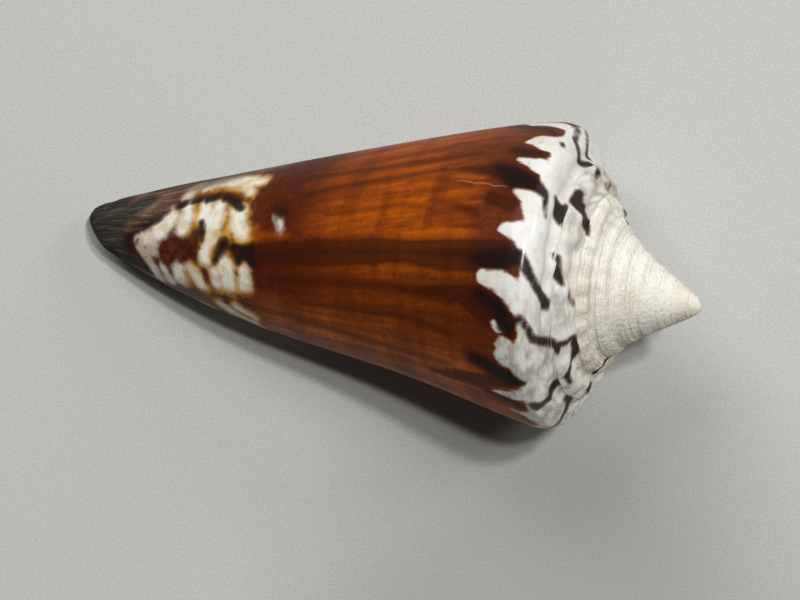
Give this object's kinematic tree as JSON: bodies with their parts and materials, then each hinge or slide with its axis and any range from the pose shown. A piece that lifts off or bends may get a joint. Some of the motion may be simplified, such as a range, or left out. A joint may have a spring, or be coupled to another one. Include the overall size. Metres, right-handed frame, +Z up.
{
  "type": "cone shell",
  "caption": "Empty cone shell lying on the lip of its opening, with a stepped conical spire, a rounded shoulder, a long tapering body and a narrow slit for an opening underneath.",
  "frame": {"origin": "centre of the bounding box's bottom face, on the ground that the shell lies on", "axes": "+X toward the tip of the spire, along the shell's axis seen from above, +Y toward the lip's side, +Z up"},
  "size_m": [0.0678, 0.0314, 0.0287],
  "materials": {
    "shell": "glossy chestnut body with white shoulder blotches, a chalky cream spire and a matt dark narrow end"
  },
  "bodies": {
    "root": {"shell": "shell"}
  },
  "joints": []
}
